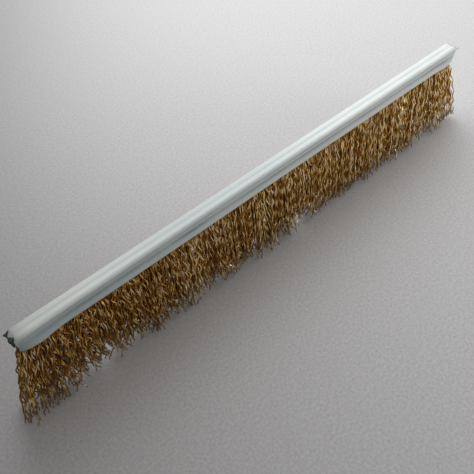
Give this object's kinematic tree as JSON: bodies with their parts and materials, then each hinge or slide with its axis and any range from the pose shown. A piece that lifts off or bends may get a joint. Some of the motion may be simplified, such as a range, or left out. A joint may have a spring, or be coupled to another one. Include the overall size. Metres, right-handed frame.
{
  "type": "door sweep brush strip",
  "caption": "Metal-backed strip brush for a door sweep: a folded steel channel grips crimped brass wire bristles that bend as the door moves.",
  "frame": {"origin": "middle of the plane that the bristle tips stand on", "axes": "+X along the strip, +Y across it, +Z from the bristle tips to the back of the channel"},
  "size_m": [0.3386, 0.011, 0.0613],
  "materials": {
    "channel_steel": "zinc-plated rolled sheet, dull sheen",
    "core_steel": "plain drawn wire",
    "brass_bristle": "tarnished crimped wire"
  },
  "bodies": {
    "channel_body": {"channel": "channel_steel", "core_wire": "core_steel", "bristle_root_01": "brass_bristle", "bristle_root_02": "brass_bristle", "bristle_root_03": "brass_bristle", "bristle_root_04": "brass_bristle", "bristle_root_05": "brass_bristle", "bristle_root_06": "brass_bristle", "bristle_root_07": "brass_bristle", "bristle_root_08": "brass_bristle", "bristle_root_09": "brass_bristle", "bristle_root_10": "brass_bristle", "bristle_root_11": "brass_bristle", "bristle_root_12": "brass_bristle", "bristle_root_13": "brass_bristle", "bristle_root_14": "brass_bristle", "bristle_root_15": "brass_bristle", "bristle_root_16": "brass_bristle", "bristle_root_17": "brass_bristle", "bristle_root_18": "brass_bristle", "bristle_root_19": "brass_bristle", "bristle_root_20": "brass_bristle"},
    "tuft_01_body": {"bristle_tuft_01": "brass_bristle"},
    "tuft_02_body": {"bristle_tuft_02": "brass_bristle"},
    "tuft_03_body": {"bristle_tuft_03": "brass_bristle"},
    "tuft_04_body": {"bristle_tuft_04": "brass_bristle"},
    "tuft_05_body": {"bristle_tuft_05": "brass_bristle"},
    "tuft_06_body": {"bristle_tuft_06": "brass_bristle"},
    "tuft_07_body": {"bristle_tuft_07": "brass_bristle"},
    "tuft_08_body": {"bristle_tuft_08": "brass_bristle"},
    "tuft_09_body": {"bristle_tuft_09": "brass_bristle"},
    "tuft_10_body": {"bristle_tuft_10": "brass_bristle"},
    "tuft_11_body": {"bristle_tuft_11": "brass_bristle"},
    "tuft_12_body": {"bristle_tuft_12": "brass_bristle"},
    "tuft_13_body": {"bristle_tuft_13": "brass_bristle"},
    "tuft_14_body": {"bristle_tuft_14": "brass_bristle"},
    "tuft_15_body": {"bristle_tuft_15": "brass_bristle"},
    "tuft_16_body": {"bristle_tuft_16": "brass_bristle"},
    "tuft_17_body": {"bristle_tuft_17": "brass_bristle"},
    "tuft_18_body": {"bristle_tuft_18": "brass_bristle"},
    "tuft_19_body": {"bristle_tuft_19": "brass_bristle"},
    "tuft_20_body": {"bristle_tuft_20": "brass_bristle"}
  },
  "joints": [
    {"name": "tuft_01_bend", "type": "hinge", "parent": "channel_body", "child": "tuft_01_body", "pos_m": [-0.1425, 0, 0.0489], "axis": [1, 0, 0], "range_deg": [-35, 35], "stiffness_Nm_per_rad": 0.5},
    {"name": "tuft_02_bend", "type": "hinge", "parent": "channel_body", "child": "tuft_02_body", "pos_m": [-0.1275, 0, 0.0489], "axis": [1, 0, 0], "range_deg": [-35, 35], "stiffness_Nm_per_rad": 0.5},
    {"name": "tuft_03_bend", "type": "hinge", "parent": "channel_body", "child": "tuft_03_body", "pos_m": [-0.1125, 0, 0.0489], "axis": [1, 0, 0], "range_deg": [-35, 35], "stiffness_Nm_per_rad": 0.5},
    {"name": "tuft_04_bend", "type": "hinge", "parent": "channel_body", "child": "tuft_04_body", "pos_m": [-0.0975, 0, 0.0489], "axis": [1, 0, 0], "range_deg": [-35, 35], "stiffness_Nm_per_rad": 0.5},
    {"name": "tuft_05_bend", "type": "hinge", "parent": "channel_body", "child": "tuft_05_body", "pos_m": [-0.0825, 0, 0.0489], "axis": [1, 0, 0], "range_deg": [-35, 35], "stiffness_Nm_per_rad": 0.5},
    {"name": "tuft_06_bend", "type": "hinge", "parent": "channel_body", "child": "tuft_06_body", "pos_m": [-0.0675, 0, 0.0489], "axis": [1, 0, 0], "range_deg": [-35, 35], "stiffness_Nm_per_rad": 0.5},
    {"name": "tuft_07_bend", "type": "hinge", "parent": "channel_body", "child": "tuft_07_body", "pos_m": [-0.0525, 0, 0.0489], "axis": [1, 0, 0], "range_deg": [-35, 35], "stiffness_Nm_per_rad": 0.5},
    {"name": "tuft_08_bend", "type": "hinge", "parent": "channel_body", "child": "tuft_08_body", "pos_m": [-0.0375, 0, 0.0489], "axis": [1, 0, 0], "range_deg": [-35, 35], "stiffness_Nm_per_rad": 0.5},
    {"name": "tuft_09_bend", "type": "hinge", "parent": "channel_body", "child": "tuft_09_body", "pos_m": [-0.0225, 0, 0.0489], "axis": [1, 0, 0], "range_deg": [-35, 35], "stiffness_Nm_per_rad": 0.5},
    {"name": "tuft_10_bend", "type": "hinge", "parent": "channel_body", "child": "tuft_10_body", "pos_m": [-0.0075, 0, 0.0489], "axis": [1, 0, 0], "range_deg": [-35, 35], "stiffness_Nm_per_rad": 0.5},
    {"name": "tuft_11_bend", "type": "hinge", "parent": "channel_body", "child": "tuft_11_body", "pos_m": [0.0075, 0, 0.0489], "axis": [1, 0, 0], "range_deg": [-35, 35], "stiffness_Nm_per_rad": 0.5},
    {"name": "tuft_12_bend", "type": "hinge", "parent": "channel_body", "child": "tuft_12_body", "pos_m": [0.0225, 0, 0.0489], "axis": [1, 0, 0], "range_deg": [-35, 35], "stiffness_Nm_per_rad": 0.5},
    {"name": "tuft_13_bend", "type": "hinge", "parent": "channel_body", "child": "tuft_13_body", "pos_m": [0.0375, 0, 0.0489], "axis": [1, 0, 0], "range_deg": [-35, 35], "stiffness_Nm_per_rad": 0.5},
    {"name": "tuft_14_bend", "type": "hinge", "parent": "channel_body", "child": "tuft_14_body", "pos_m": [0.0525, 0, 0.0489], "axis": [1, 0, 0], "range_deg": [-35, 35], "stiffness_Nm_per_rad": 0.5},
    {"name": "tuft_15_bend", "type": "hinge", "parent": "channel_body", "child": "tuft_15_body", "pos_m": [0.0675, 0, 0.0489], "axis": [1, 0, 0], "range_deg": [-35, 35], "stiffness_Nm_per_rad": 0.5},
    {"name": "tuft_16_bend", "type": "hinge", "parent": "channel_body", "child": "tuft_16_body", "pos_m": [0.0825, 0, 0.0489], "axis": [1, 0, 0], "range_deg": [-35, 35], "stiffness_Nm_per_rad": 0.5},
    {"name": "tuft_17_bend", "type": "hinge", "parent": "channel_body", "child": "tuft_17_body", "pos_m": [0.0975, 0, 0.0489], "axis": [1, 0, 0], "range_deg": [-35, 35], "stiffness_Nm_per_rad": 0.5},
    {"name": "tuft_18_bend", "type": "hinge", "parent": "channel_body", "child": "tuft_18_body", "pos_m": [0.1125, 0, 0.0489], "axis": [1, 0, 0], "range_deg": [-35, 35], "stiffness_Nm_per_rad": 0.5},
    {"name": "tuft_19_bend", "type": "hinge", "parent": "channel_body", "child": "tuft_19_body", "pos_m": [0.1275, 0, 0.0489], "axis": [1, 0, 0], "range_deg": [-35, 35], "stiffness_Nm_per_rad": 0.5},
    {"name": "tuft_20_bend", "type": "hinge", "parent": "channel_body", "child": "tuft_20_body", "pos_m": [0.1425, 0, 0.0489], "axis": [1, 0, 0], "range_deg": [-35, 35], "stiffness_Nm_per_rad": 0.5}
  ]
}
